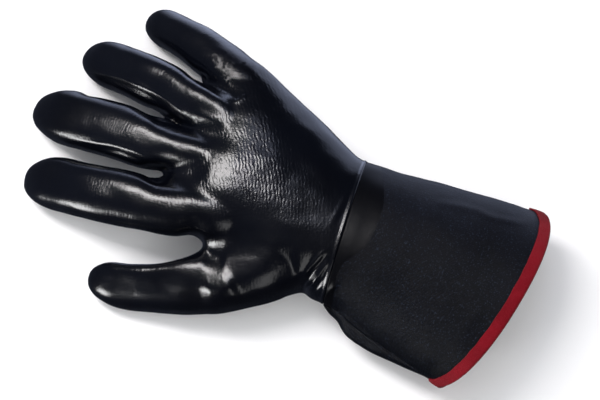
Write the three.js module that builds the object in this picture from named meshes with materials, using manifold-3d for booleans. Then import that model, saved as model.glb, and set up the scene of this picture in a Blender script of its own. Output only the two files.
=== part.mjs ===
// A nitrile coated work glove for the right hand, with a flared gauntlet cuff and a taped hem.
// It lies palm down, as on a table. Millimetres, +Z up, +Y towards the fingertips,
// +X towards the little finger. The tables are measured from the middle of the wrist seam,
// and the finished glove is moved so that the origin lies under its middle, on the table.
import * as THREE from "three";
import { mergeVertices } from "three/addons/utils/BufferGeometryUtils.js";
import Module from "manifold-3d";

const wasm = await Module();
wasm.setup();

// ---------------------------------------------------------------- driving sizes
const HAND_WALL = 2.0; // dipped coating on its knitted base
const CUFF_WALL = 2.0; // coated canvas
const GAP = 0.3; // between neighbouring pieces
const SEAM_RIDGE = 1.3; // how far the wrist seam stands out
const TAPE = 0.9; // thickness of the hem tape
const TAPE_WIDTH = 6.5; // how far the tape reaches up the cuff
const FINGER_SIDES = 16; // facets round a finger
const BODY_SIDES = 36; // facets round the palm and the cuff

// Each finger's centreline from its root inside the palm to its tip, with the half width
// and half height that it has there, and cap, the length of its rounded end.
const FINGERS = {
  index: {
    cap: 25,
    rows: [
      { x: -15.0, y: 58, z: 43.5, w: 15.0, h: 16.0 },
      { x: -20.4, y: 76, z: 45.0, w: 16.4, h: 17.0 },
      { x: -25.8, y: 98, z: 44.0, w: 16.8, h: 16.6 },
      { x: -29.0, y: 124, z: 38.6, w: 16.9, h: 15.2 },
      { x: -31.0, y: 147, z: 30.7, w: 16.9, h: 14.6 },
      { x: -32.2, y: 168, z: 20.85, w: 16.3, h: 14.0 },
      { x: -33.2, y: 185, z: 11.62, w: 15.4, h: 13.2 },
      { x: -35.1, y: 198.2, z: 4.52, w: 14.6, h: 12.6 },
    ],
  },
  middle: {
    cap: 25,
    rows: [
      { x: 8.6, y: 62, z: 44.5, w: 15.0, h: 16.0 },
      { x: 8.4, y: 84, z: 46.0, w: 16.6, h: 17.4 },
      { x: 7.8, y: 107, z: 45.0, w: 17.0, h: 16.8 },
      { x: 8.1, y: 132, z: 39.2, w: 17.3, h: 15.4 },
      { x: 8.6, y: 155, z: 31.8, w: 17.2, h: 14.8 },
      { x: 8.5, y: 178, z: 21.75, w: 16.6, h: 14.2 },
      { x: 9.0, y: 196, z: 12.32, w: 15.8, h: 13.2 },
      { x: 10.0, y: 211.0, z: 4.72, w: 15.0, h: 12.6 },
    ],
  },
  ring: {
    cap: 24,
    rows: [
      { x: 24.0, y: 64, z: 43.5, w: 15.0, h: 15.6 },
      { x: 29.0, y: 86, z: 44.6, w: 16.2, h: 16.8 },
      { x: 35.2, y: 107, z: 42.4, w: 16.4, h: 16.0 },
      { x: 41.4, y: 128, z: 37.2, w: 16.2, h: 14.8 },
      { x: 46.4, y: 148, z: 30.4, w: 15.3, h: 14.0 },
      { x: 49.9, y: 167, z: 20.85, w: 14.7, h: 13.4 },
      { x: 52.2, y: 183, z: 11.72, w: 14.2, h: 12.8 },
      { x: 54.8, y: 196.2, z: 4.12, w: 13.4, h: 12.2 },
    ],
  },
  little: {
    cap: 20,
    rows: [
      { x: 44.0, y: 60, z: 40.0, w: 14.0, h: 15.0 },
      { x: 53.8, y: 79, z: 41.4, w: 15.6, h: 16.0 },
      { x: 62.6, y: 95, z: 39.4, w: 16.4, h: 15.4 },
      { x: 70.4, y: 110, z: 35.6, w: 15.2, h: 13.8 },
      { x: 78.0, y: 126, z: 29.3, w: 13.3, h: 12.6 },
      { x: 83.6, y: 142, z: 20.31, w: 12.5, h: 12.0 },
      { x: 87.6, y: 156, z: 11.50, w: 12.1, h: 11.6 },
      { x: 89.9, y: 168.4, z: 3.60, w: 11.8, h: 11.2 },
    ],
  },
  thumb: {
    cap: 22,
    rows: [
      { x: -19.0, y: 18, z: 33.0, w: 19.0, h: 21.0 },
      { x: -27.0, y: 29, z: 32.6, w: 21.6, h: 22.6 },
      { x: -37.0, y: 40, z: 31.4, w: 22.4, h: 21.8 },
      { x: -47.0, y: 51.5, z: 29.6, w: 21.0, h: 19.6 },
      { x: -56.5, y: 64.5, z: 27.0, w: 18.4, h: 17.2 },
      { x: -64.6, y: 78, z: 23.9, w: 15.9, h: 15.4 },
      { x: -71.4, y: 96, z: 18.96, w: 14.1, h: 13.8 },
      { x: -76.4, y: 115, z: 13.39, w: 13.5, h: 12.8 },
      { x: -77.7, y: 136.8, z: 7.59, w: 13.0, h: 12.2 },
    ],
  },
};

// Cross sections of the palm, from the wrist seam to the roots of the fingers. lx, ly is the
// thumb side, rx, ry the little-finger side; nt and nb round the back and the palm side,
// 2 being an ellipse and more being squarer.
const PALM = [
  { lx: -44.2, ly: -2.0, rx: 45.6, ry: 4.9, bottom: 3.4, top: 61.5, nt: 2.2, nb: 2.2 },
  { lx: -44.2, ly: 8.0, rx: 47.0, ry: 11.0, bottom: 1.8, top: 62.0, nt: 2.2, nb: 2.2 },
  { lx: -45.6, ly: 20.0, rx: 52.0, ry: 22.0, bottom: 0.8, top: 62.6, nt: 2.2, nb: 2.3 },
  { lx: -43.0, ly: 38.0, rx: 59.6, ry: 38.0, bottom: 2.0, top: 63.4, nt: 2.3, nb: 2.3 },
  { lx: -40.0, ly: 58.0, rx: 66.4, ry: 57.0, bottom: 6.8, top: 63.8, nt: 2.3, nb: 2.3 },
  { lx: -38.4, ly: 78.0, rx: 74.0, ry: 76.0, bottom: 13.4, top: 63.2, nt: 2.4, nb: 2.4 },
  { lx: -38.2, ly: 96.0, rx: 78.6, ry: 91.0, bottom: 18.6, top: 60.6, nt: 2.4, nb: 2.4 },
  { lx: -36.0, ly: 109.0, rx: 78.0, ry: 102.0, bottom: 24.0, top: 56.0, nt: 2.3, nb: 2.3 },
  { lx: -28.0, ly: 118.0, rx: 64.0, ry: 113.0, bottom: 31.0, top: 49.0, nt: 2.0, nb: 2.0 },
];

// Cross sections of the cuff, from the wrist seam to the hem. kt and kb under 2 bring the
// back and the palm side to a crease where they meet; bulge is how far the palm side stands
// out past the thumb-side crease; bow lets the back's edge run past the two creases; floor
// is where the underside is pressed flat by the table.
const CUFF = [
  { lx: -44.2, ly: -2.3, rx: 45.6, ry: 4.6, bottom: 3.4, top: 61.5, kt: 2.0, kb: 2.0, bulge: 0.0, bow: 0.0, floor: 0 },
  { lx: -46.2, ly: -11.0, rx: 47.0, ry: -6.5, bottom: 0.8, top: 62.0, kt: 1.8, kb: 1.9, bulge: 6.0, bow: 1.6, floor: 0 },
  { lx: -49.4, ly: -22.6, rx: 48.0, ry: -20.0, bottom: -1.4, top: 63.6, kt: 1.7, kb: 1.9, bulge: 10.0, bow: 4.0, floor: 0 },
  { lx: -53.6, ly: -38.6, rx: 50.4, ry: -42.0, bottom: -2.8, top: 66.0, kt: 1.6, kb: 1.9, bulge: 9.0, bow: 7.0, floor: 0 },
  { lx: -59.0, ly: -58.0, rx: 52.8, ry: -68.0, bottom: -3.2, top: 69.0, kt: 1.6, kb: 1.9, bulge: 4.6, bow: 11.4, floor: 0 },
  { lx: -62.8, ly: -75.5, rx: 54.2, ry: -95.2, bottom: -2.0, top: 71.4, kt: 1.6, kb: 1.8, bulge: 1.2, bow: 15.6, floor: 1.2 },
  { lx: -65.2, ly: -84.2, rx: 54.8, ry: -104.2, bottom: -2.0, top: 72.2, kt: 1.6, kb: 1.8, bulge: 0.6, bow: 16.0, floor: 1.2 },
];

// Folds pressed into the wrist: y where the fold crosses the back's middle, slant how much
// that changes with x, from and to the angles it spans (0 little-finger side, 90 back,
// 180 thumb side), its width and its depth.
const FOLDS = [
  { y: 8.5, slant: -0.05, from: 120, to: 215, width: 4.0, depth: 2.6 },
  { y: 17.5, slant: 0.12, from: 140, to: 205, width: 3.6, depth: 1.8 },
  { y: -9.5, slant: 0.1, from: 150, to: 230, width: 4.6, depth: 2.0 },
];

// ---------------------------------------------------------------- helpers
// A column of a table at a place between its rows, along a Catmull-Rom curve.
function column(rows, key, at) {
  const last = rows.length - 1;
  const i = Math.min(Math.floor(at), last - 1);
  const f = at - i;
  const p = [i - 1, i, i + 1, i + 2].map((k) => {
    if (k < 0) return 2 * rows[0][key] - rows[1][key];
    if (k > last) return 2 * rows[last][key] - rows[last - 1][key];
    return rows[k][key];
  });
  return (
    p[1] +
    0.5 * f * (p[2] - p[0] + f * (2 * p[0] - 5 * p[1] + 4 * p[2] - p[3] + f * (3 * (p[1] - p[2]) + p[3] - p[0])))
  );
}

const power = (v, e) => Math.sign(v) * Math.abs(v) ** e;

// A closed outline moved in by a wall's thickness, each corner along its mitre.
function inset(points, wall) {
  const n = points.length;
  return points.map((p, i) => {
    const a = points[(i + n - 1) % n];
    const b = points[(i + 1) % n];
    const u = new THREE.Vector2().subVectors(p, a).normalize();
    const v = new THREE.Vector2().subVectors(b, p).normalize();
    const nu = new THREE.Vector2(-u.y, u.x);
    const nv = new THREE.Vector2(-v.y, v.x);
    const m = nu.clone().add(nv).normalize();
    return p.clone().addScaledVector(m, wall / Math.max(0.6, m.dot(nu)));
  });
}

// A closed skin over rings of equal count, with a flat or pointed fan at each end.
function skin(rings, startPoint, endPoint) {
  const n = rings[0].length;
  const middle = (ring) => ring.reduce((s, p) => s.add(p), new THREE.Vector3()).divideScalar(ring.length);
  const points = [...rings.flat(), startPoint ?? middle(rings[0]), endPoint ?? middle(rings.at(-1))];
  const start = points.length - 2;
  const end = points.length - 1;
  const index = [];
  rings.forEach((ring, r) => {
    for (let i = 0; i < n; i++) {
      const j = (i + 1) % n;
      if (r === 0) index.push(start, j, i);
      if (r === rings.length - 1) index.push(end, r * n + i, r * n + j);
      else {
        const a = r * n + i;
        const b = r * n + j;
        index.push(a, b, b + n, a, b + n, a + n);
      }
    }
  });
  const geometry = new THREE.BufferGeometry().setFromPoints(points);
  geometry.setIndex(index);
  return geometry;
}

function solid(geometry) {
  const g = geometry.clone();
  g.deleteAttribute("normal");
  g.deleteAttribute("uv");
  const merged = mergeVertices(g, 1e-4);
  const made = new wasm.Manifold(
    new wasm.Mesh({
      numProp: 3,
      vertProperties: merged.attributes.position.array,
      triVerts: new Uint32Array(merged.index.array),
    }),
  );
  if (made.volume() > 0) return made;
  const turned = new Uint32Array(merged.index.array);
  for (let i = 0; i < turned.length; i += 3) [turned[i + 1], turned[i + 2]] = [turned[i + 2], turned[i + 1]];
  return new wasm.Manifold(
    new wasm.Mesh({ numProp: 3, vertProperties: merged.attributes.position.array, triVerts: turned }),
  );
}

function geometryOf(manifold) {
  const m = manifold.getMesh();
  const position = new Float32Array(m.numVert * 3);
  for (let i = 0; i < m.numVert; i++) position.set(m.vertProperties.subarray(i * m.numProp, i * m.numProp + 3), i * 3);
  const g = new THREE.BufferGeometry();
  g.setAttribute("position", new THREE.BufferAttribute(position, 3));
  g.setIndex(new THREE.BufferAttribute(new Uint32Array(m.triVerts), 1));
  g.computeVertexNormals();
  return g;
}

// ---------------------------------------------------------------- fingers
// A finger's skin, moved in by wall, with a rounded end.
function finger({ rows, cap }, wall) {
  const curve = new THREE.CatmullRomCurve3(
    rows.map((r) => new THREE.Vector3(r.x, r.y, r.z)),
    false,
    "centripetal",
  );
  const last = rows.length - 1;
  // Distances along the curve at each row, so that sizes go with places.
  const fine = 240;
  const at = [0];
  let before = curve.getPoint(0);
  for (let i = 1; i <= fine; i++) {
    const p = curve.getPoint(i / fine);
    at.push(at[i - 1] + p.distanceTo(before));
    before = p;
  }
  const length = at[fine] - wall;
  const parameter = (s) => {
    let i = 1;
    while (i < fine && at[i] < s) i++;
    return (i - 1 + (s - at[i - 1]) / (at[i] - at[i - 1])) / fine;
  };
  const round = cap - wall;
  const stations = [];
  const body = length - round;
  const steps = Math.ceil(body / 13);
  for (let i = 0; i < steps; i++) stations.push([(body * i) / steps, 1]);
  for (const turn of [0, 24, 45, 63, 78]) {
    const a = THREE.MathUtils.degToRad(turn);
    stations.push([body + round * Math.sin(a), Math.cos(a)]);
  }
  const rings = stations.map(([s, share]) => {
    const t = parameter(s);
    const centre = curve.getPoint(t);
    const along = curve.getTangent(t);
    const side = new THREE.Vector3(along.y, -along.x, 0).normalize();
    const up = new THREE.Vector3().crossVectors(side, along).normalize();
    const w = (column(rows, "w", t * last) - wall) * share;
    const h = (column(rows, "h", t * last) - wall) * share;
    const ring = [];
    for (let i = 0; i < FINGER_SIDES; i++) {
      const a = (2 * Math.PI * (i + 0.5)) / FINGER_SIDES;
      ring.push(
        centre
          .clone()
          .addScaledVector(side, w * power(Math.cos(a), 2 / 2.35))
          .addScaledVector(up, h * power(Math.sin(a), 2 / 2.35)),
      );
    }
    return ring;
  });
  return skin(rings, null, curve.getPoint(parameter(length)));
}

// ---------------------------------------------------------------- palm and cuff
// One cross section: the points of its outline in its own upright plane, and that plane.
function section(rows, t, round) {
  const r = Object.fromEntries(Object.keys(rows[0]).map((k) => [k, column(rows, k, t)]));
  const left = new THREE.Vector3(r.lx, r.ly, 0);
  const across = new THREE.Vector3(r.rx, r.ry, 0).sub(left);
  const half = across.length() / 2;
  across.normalize();
  const along = new THREE.Vector3(-across.y, across.x, 0); // towards the fingertips
  const centre = left.addScaledVector(across, half);
  const mid = (r.bottom + r.top) / 2;
  const outline = [];
  for (let i = 0; i < BODY_SIDES; i++) {
    const a = (2 * Math.PI * i) / BODY_SIDES;
    outline.push(round(r, a, half, mid));
  }
  return { r, centre, across, along, mid, half, outline };
}

const palmRound = (r, a, half, mid) => {
  const n = Math.sin(a) >= 0 ? r.nt : r.nb;
  const high = Math.sin(a) >= 0 ? r.top - mid : mid - r.bottom;
  return new THREE.Vector2(half * power(Math.cos(a), 2 / n), mid + high * power(Math.sin(a), 2 / n));
};

const cuffRound = (r, a, half, mid) => {
  const sin = Math.sin(a);
  const cos = Math.cos(a);
  const high = sin >= 0 ? r.top - mid : mid - r.bottom;
  const k = sin >= 0 ? r.kt : r.kb;
  let x = half * power(cos, 2 / 2.2);
  if (sin < 0 && cos < 0) x -= r.bulge * 1.75 * Math.sqrt(-sin) * (-cos) ** 1.5;
  return new THREE.Vector2(x, mid + high * power(sin, 2 / k));
};

// How far in a fold presses the skin at a point.
function foldDepth(x, y, degrees) {
  let depth = 0;
  for (const f of FOLDS) {
    const reach = Math.sin((Math.PI * THREE.MathUtils.clamp(degrees - f.from, 0, f.to - f.from)) / (f.to - f.from));
    depth += f.depth * reach * Math.exp(-(((y - f.y - f.slant * x) / f.width) ** 2));
  }
  return depth;
}

// The rings of a tube through the sections at the places ts, moved in by wall. swell is how
// far a ring stands out.
function tube(rows, ts, round, wall, swell = () => 0) {
  return ts.map((t) => {
    const s = section(rows, t, round);
    const floor = s.r.floor === undefined ? -1e9 : Math.max(0, s.r.floor);
    let outline = s.outline.map((p) => new THREE.Vector2(p.x, Math.max(p.y, floor)));
    const out = swell(t);
    if (wall - out !== 0) outline = inset(outline, wall - out);
    return outline.map((p, i) => {
      const a = (2 * Math.PI * i) / BODY_SIDES;
      const bow = (s.r.bow ?? 0) * Math.abs(Math.sin(a)) ** 0.9 * (Math.sin(a) >= 0 ? 1 : 0.5);
      const place = s.centre.clone().addScaledVector(s.across, p.x).addScaledVector(s.along, -bow);
      place.z = Math.max(p.y, floor + wall);
      const depth = foldDepth(place.x, place.y, THREE.MathUtils.radToDeg(a));
      if (depth > 0) {
        const inward = new THREE.Vector3(-place.x, 0, s.mid - place.z).normalize();
        place.addScaledVector(inward, depth);
      }
      return place;
    });
  });
}

// Places along a table, closer together near its start, where the wrist folds are.
const places = (last, near, far) => {
  const ts = [];
  for (let t = 0; t < Math.min(2, last) - 1e-6; t += near) ts.push(t);
  for (let t = Math.min(2, last); t < last - 1e-6; t += far) ts.push(t);
  ts.push(last);
  return ts;
};

// ---------------------------------------------------------------- the hand
const palmPlaces = places(PALM.length - 1, 0.4, 0.5);
const ridge = (t) => SEAM_RIDGE * Math.exp(-((t / 0.3) ** 2));
const outer = [
  solid(skin(tube(PALM, palmPlaces, palmRound, 0, ridge))),
  ...Object.values(FINGERS).map((f) => solid(finger(f, 0))),
].reduce((a, b) => a.add(b));

// The hollow runs on past the wrist, so that it is cut open there.
const palmInside = tube(PALM, palmPlaces, palmRound, HAND_WALL, ridge);
const beyond = palmInside[0].map((p) => p.clone().add(new THREE.Vector3(0.9, -12, 0)));
const inner = [
  solid(skin([beyond, ...palmInside.slice(0, -1)])),
  ...Object.values(FINGERS).map((f) => solid(finger(f, HAND_WALL))),
].reduce((a, b) => a.add(b));

// ---------------------------------------------------------------- the cuff
const cuffLast = CUFF.length - 1;
// The last 9 mm are straight, so that the tape lies on them.
const cuffPlaces = [...places(cuffLast - 1, 0.25, 0.5), cuffLast];
const cuffRidge = (t) => SEAM_RIDGE * Math.exp(-((t / 0.35) ** 2));
const cuffOutside = tube(CUFF, cuffPlaces, cuffRound, 0, cuffRidge);
const cuffInside = tube(CUFF, cuffPlaces, cuffRound, CUFF_WALL, cuffRidge);

// A tube's wall from its outside and inside rings, open at both ends.
function wallOf(outside, inside) {
  const rings = [...outside, ...[...inside].reverse()];
  const n = rings[0].length;
  const index = [];
  rings.forEach((_, r) => {
    const q = (r + 1) % rings.length;
    for (let i = 0; i < n; i++) {
      const j = (i + 1) % n;
      index.push(r * n + i, r * n + j, q * n + j, r * n + i, q * n + j, q * n + i);
    }
  });
  const g = new THREE.BufferGeometry().setFromPoints(rings.flat());
  g.setIndex(index);
  return g;
}

// ---------------------------------------------------------------- the hem tape
// The tape's section at one place of the hem: it goes over the edge from outside to inside.
function tapeRings() {
  const edgeOut = cuffOutside.at(-1);
  const edgeIn = cuffInside.at(-1);
  const n = edgeOut.length;
  const upOut = cuffOutside.at(-2);
  const loops = Array.from({ length: n }, (_, i) => {
    const along = new THREE.Vector3().subVectors(upOut[i], edgeOut[i]).normalize(); // up the cuff
    const out = new THREE.Vector3().subVectors(edgeOut[i], edgeIn[i]);
    const wall = out.length();
    out.normalize();
    out.addScaledVector(along, -out.dot(along)).normalize();
    const mid = edgeOut[i].clone().add(edgeIn[i]).multiplyScalar(0.5);
    const inner = wall / 2 + GAP;
    const outerHalf = inner + TAPE;
    const at = (o, a) => mid.clone().addScaledVector(out, o).addScaledVector(along, a);
    return [
      at(inner, TAPE_WIDTH),
      at(outerHalf, TAPE_WIDTH),
      at(outerHalf, 0.2),
      at(inner, -GAP - TAPE),
      at(-inner, -GAP - TAPE),
      at(-outerHalf, 0.2),
      at(-outerHalf, TAPE_WIDTH),
      at(-inner, TAPE_WIDTH),
      at(-inner, -GAP),
      at(inner, -GAP),
    ];
  });
  const m = loops[0].length;
  const index = [];
  for (let i = 0; i < n; i++) {
    const q = (i + 1) % n;
    for (let k = 0; k < m; k++) {
      const l = (k + 1) % m;
      index.push(i * m + k, i * m + l, q * m + l, i * m + k, q * m + l, q * m + k);
    }
  }
  const g = new THREE.BufferGeometry().setFromPoints(loops.flat());
  g.setIndex(index);
  return g;
}

// ---------------------------------------------------------------- the glove
const glove = new THREE.Group();
glove.name = "nitrile_coated_glove";

function piece(name, manifold, look) {
  const mesh = new THREE.Mesh(geometryOf(manifold), new THREE.MeshStandardMaterial(look));
  mesh.name = name;
  glove.add(mesh);
  return mesh;
}

piece("hand", outer.subtract(inner), { color: 0x10131c, roughness: 0.25, metalness: 0 });
piece("cuff", solid(wallOf(cuffOutside, cuffInside)), { color: 0x141823, roughness: 0.6, metalness: 0 });
piece("hem_binding", solid(tapeRings()), { color: 0xb01030, roughness: 0.8, metalness: 0 });

const box = new THREE.Box3().setFromObject(glove);
const middle = box.getCenter(new THREE.Vector3());
glove.position.set(-middle.x, -middle.y, -box.min.z);

export default glove;
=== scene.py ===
import bpy
import numpy as np
from mathutils import Matrix


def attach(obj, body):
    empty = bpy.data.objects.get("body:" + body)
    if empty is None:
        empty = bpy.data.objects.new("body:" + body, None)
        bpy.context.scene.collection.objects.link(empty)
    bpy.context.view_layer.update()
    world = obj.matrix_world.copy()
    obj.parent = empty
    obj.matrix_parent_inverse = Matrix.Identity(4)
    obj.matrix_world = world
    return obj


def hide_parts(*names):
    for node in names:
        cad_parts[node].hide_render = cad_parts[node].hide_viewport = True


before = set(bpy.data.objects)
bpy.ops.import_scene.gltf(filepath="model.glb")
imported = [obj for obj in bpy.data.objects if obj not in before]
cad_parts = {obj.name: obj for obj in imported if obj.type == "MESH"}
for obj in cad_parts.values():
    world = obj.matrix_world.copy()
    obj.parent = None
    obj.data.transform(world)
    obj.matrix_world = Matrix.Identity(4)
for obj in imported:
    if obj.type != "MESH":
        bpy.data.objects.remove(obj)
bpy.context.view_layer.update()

# The tables below are in millimetres from the middle of the wrist seam, as in the CAD source.
# The finished meshes are moved by SHIFT and turned into metres.
SHIFT = np.array([4.644, 48.557, 0.0])
HAND_WALL = 2.0
CUFF_WALL = 2.0
TAPE_GAP = 0.15
TAPE = 0.95
TAPE_WIDTH = 6.6

# ------------------------------------------------------------------ camera
# The view is 75 degrees down, with the fingers to the left of the picture.
PHI = np.radians(21.7)
TILT = np.radians(75.0)
FOCAL = 600 * 100 / 36.0
AHEAD = np.array([np.cos(PHI), np.sin(PHI), 0.0])
RIGHT = np.array([np.sin(PHI), -np.cos(PHI), 0.0])
UP = AHEAD * np.sin(TILT) + np.array([0, 0, np.cos(TILT)])
BACK = -AHEAD * np.cos(TILT) + np.array([0, 0, np.sin(TILT)])
EYE = np.array([0, 0, 34.0]) - 27.0 * RIGHT + 19.8 * UP + 1000.0 * BACK


def picture(p):
    """Where points land in the 600 x 400 view."""
    q = p - EYE
    depth = -(q @ BACK)
    return np.stack([300 + FOCAL * (q @ RIGHT) / depth, 200 - FOCAL * (q @ UP) / depth], 1)


camera_data = bpy.data.cameras.new("camera")
camera_data.lens = 100
camera_data.sensor_width = 36
camera_data.clip_start = 0.01
camera = bpy.data.objects.new("camera", camera_data)
m = Matrix.Identity(4)
for i in range(3):
    m[i][0], m[i][1], m[i][2], m[i][3] = RIGHT[i], UP[i], BACK[i], (EYE[i] - SHIFT[i]) / 1000
camera.matrix_world = m
bpy.context.scene.collection.objects.link(camera)
bpy.context.scene.camera = camera

# ------------------------------------------------------------------ tables
# x, y, z of a finger's centreline, its half width and half height
FINGERS = {
    "index": (25, [
        (-14.8, 58, 43.0, 15.0, 16.0), (-19.9, 76, 43.2, 16.4, 17.0), (-24.9, 98, 41.0, 16.8, 16.6),
        (-28.5, 124, 37.0, 16.9, 15.2), (-31.0, 147, 30.6, 16.9, 14.6), (-32.2, 168, 20.85, 16.3, 14.0),
        (-33.2, 185, 11.62, 15.4, 13.2), (-35.1, 198.2, 4.52, 14.6, 12.6)]),
    "middle": (25, [
        (8.6, 62, 44.3, 15.0, 16.0), (9.2, 84, 43.1, 16.6, 17.4), (9.3, 107, 39.7, 17.0, 16.8),
        (8.9, 132, 36.6, 17.3, 15.4), (9.2, 155, 29.8, 17.2, 14.8), (8.5, 178, 21.75, 16.6, 14.2),
        (9.0, 196, 12.32, 15.8, 13.2), (10.0, 211.0, 4.72, 15.0, 12.6)]),
    "ring": (24, [
        (24.0, 64, 43.5, 15.0, 15.6), (29.5, 86, 42.6, 16.2, 16.8), (35.9, 107, 39.8, 16.4, 16.0),
        (41.8, 128, 35.8, 16.2, 14.8), (46.5, 148, 30.0, 15.3, 14.0), (49.9, 167, 20.85, 14.7, 13.4),
        (52.2, 183, 11.72, 14.2, 12.8), (54.8, 196.2, 4.12, 13.4, 12.2)]),
    "little": (20, [
        (44.0, 60, 40.0, 14.0, 15.0), (54.0, 79, 40.6, 15.6, 16.0), (62.9, 95, 38.4, 16.4, 15.4),
        (70.5, 110, 35.2, 15.2, 13.8), (78.0, 126, 29.3, 13.3, 12.6), (83.6, 142, 20.31, 12.5, 12.0),
        (87.6, 156, 11.50, 12.1, 11.6), (89.9, 168.4, 3.60, 11.8, 11.2)]),
    "thumb": (22, [
        (-19.0, 18, 33.0, 19.0, 21.0), (-27.0, 29, 32.6, 21.6, 22.6), (-37.0, 40, 31.4, 22.4, 21.8),
        (-47.0, 51.5, 29.0, 20.6, 19.4), (-56.5, 64.5, 26.0, 18.0, 16.8), (-64.6, 78, 23.4, 15.4, 15.2),
        (-71.4, 96, 18.96, 13.4, 13.8), (-76.4, 115, 13.79, 12.8, 12.8), (-77.7, 136.8, 8.19, 12.4, 12.2)]),
}

# How far each finger is rolled towards the thumb's side, in degrees, at five even places from
# its root to its tip
ROLL = {
    "index": (3, 9, 10, 8, 8), "middle": (3, 7, 6, 4, 4), "ring": (3, 12, 12, 12, 2),
    "little": (3, 10, 12, 10, 5), "thumb": (0, -6, 2, 4, 2),
}
# How steeply a finger's flat back falls to the thumb's side, and how square its section is (2 is
# an ellipse), at even places too
LEAN = {
    "thumb": (0.0, 0.0, -0.05, -0.03, 0.22, 0.36, 0.38, 0.34, 0.24),
    "ring": (0.0, 0.26, 0.16, 0.06, 0.0),
}
SQUARE = {
    "index": (2.35, 2.35, 2.5, 3.0, 3.0), "middle": (2.35, 2.35, 2.5, 2.9, 2.9), "ring": (2.6, 3.0, 2.7, 2.6, 2.6),
    "little": (2.35, 2.35, 2.35, 2.4, 2.4), "thumb": (2.35, 2.4, 3.2, 3.5, 3.0),
}

# lx, ly, rx, ry, bottom, top, roundness of the back and of the palm side
PALM = np.array([
    (-44.2, -2.0, 45.6, 4.9, 3.4, 61.5, 2.2, 2.2),
    (-44.2, 8.0, 47.0, 11.0, 1.8, 62.0, 2.2, 2.2),
    (-45.6, 20.0, 52.0, 22.0, 0.8, 62.6, 2.2, 2.3),
    (-43.0, 38.0, 59.6, 38.0, 2.0, 63.3, 2.3, 2.3),
    (-40.0, 58.0, 66.4, 57.0, 6.8, 64.2, 2.3, 2.3),
    (-38.4, 78.0, 74.0, 76.0, 13.4, 63.3, 2.4, 2.4),
    (-38.2, 96.0, 78.6, 91.0, 18.6, 58.8, 2.4, 2.4),
    (-36.0, 109.0, 78.0, 102.0, 24.0, 53.4, 2.3, 2.3),
    (-28.0, 118.0, 64.0, 113.0, 29.0, 46.0, 2.0, 2.0),
])

# lx, ly, rx, ry, bottom, top, kt, kb, bulge, bow, floor
CUFF = np.array([
    (-44.2, -2.3, 45.6, 4.6, 3.4, 61.5, 2.2, 2.2, 0.0, 0.0, 0.0),
    (-46.2, -11.0, 47.0, -6.5, 0.8, 62.0, 1.8, 1.9, 6.0, 1.6, 0.0),
    (-49.4, -22.6, 48.0, -20.0, -1.4, 63.6, 1.7, 1.9, 10.0, 4.0, 0.0),
    (-53.6, -38.6, 50.4, -42.0, -2.8, 66.0, 1.6, 1.9, 9.0, 7.0, 0.0),
    (-59.0, -58.0, 52.8, -68.0, -3.2, 69.0, 1.6, 1.9, 4.6, 11.4, 0.0),
    (-62.8, -75.5, 54.2, -95.2, -2.0, 71.4, 1.6, 1.8, 1.2, 15.6, 1.2),
    (-65.2, -84.2, 54.8, -104.2, -2.0, 72.2, 1.6, 1.8, 0.6, 16.0, 1.2),
])

# Folds that press both skins in at the wrist: y, slant, from, to, width, depth
FOLDS = [
    (8.5, -0.05, 120, 215, 4.0, 2.6),
    (17.5, 0.12, 140, 205, 3.6, 1.8),
    (-9.5, 0.1, 150, 230, 4.6, 2.0),
]

# The wrist seam's plane: y = SEAM_Y + SEAM_SLOPE * x
SEAM_SLOPE = 6.9 / 89.8
SEAM_Y = -2.0 + SEAM_SLOPE * 44.2


# ------------------------------------------------------------------ helpers
def column(values, at):
    v = np.asarray(values, float)
    last = len(v) - 1
    ext = np.concatenate([[2 * v[0] - v[1]], v, [2 * v[-1] - v[-2]]])
    at = np.clip(at, 0, last)
    i = np.minimum(np.floor(at).astype(int), last - 1)
    f = at - i
    a, b, c, d = ext[i], ext[i + 1], ext[i + 2], ext[i + 3]
    return b + 0.5 * f * (c - a + f * (2 * a - 5 * b + 4 * c - d + f * (3 * (b - c) + d - a)))


def power(v, e):
    return np.sign(v) * np.abs(v) ** e


def ease(lo, hi, v):
    t = np.clip((v - lo) / (hi - lo), 0, 1)
    return t * t * (3 - 2 * t)


def unit(v):
    return v / np.maximum(np.linalg.norm(v, axis=-1, keepdims=True), 1e-12)


def noise(p, seed):
    """Smooth gradient noise of about -1 to 1 at points in units of its cell."""
    i = np.floor(p).astype(np.int64)
    f = p - i
    u = f * f * f * (f * (f * 6 - 15) + 10)
    total = np.zeros(len(p))
    for dx in (0, 1):
        for dy in (0, 1):
            for dz in (0, 1):
                h = (i[:, 0] + dx) * 374761393 + (i[:, 1] + dy) * 668265263 + (i[:, 2] + dz) * 1442695041 + seed * 97531
                h = (h ^ (h >> 13)) * 1274126177
                h = (h ^ (h >> 16)) & 0xFFFFF
                turn = (h & 1023) * (2 * np.pi / 1024)
                rise = ((h >> 10) & 1023) / 511.5 - 1
                flat = np.sqrt(np.maximum(0, 1 - rise * rise))
                dot = flat * np.cos(turn) * (f[:, 0] - dx) + flat * np.sin(turn) * (f[:, 1] - dy) + rise * (f[:, 2] - dz)
                w = (u[:, 0] if dx else 1 - u[:, 0]) * (u[:, 1] if dy else 1 - u[:, 1]) * (u[:, 2] if dz else 1 - u[:, 2])
                total += w * dot
    return total * 1.6


def fold_depth(x, y, degrees):
    depth = np.zeros_like(x)
    for fy, slant, lo, hi, width, deep in FOLDS:
        reach = np.sin(np.pi * np.clip(degrees - lo, 0, hi - lo) / (hi - lo))
        depth += deep * reach * np.exp(-(((y - fy - slant * x) / width) ** 2))
    return depth


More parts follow.
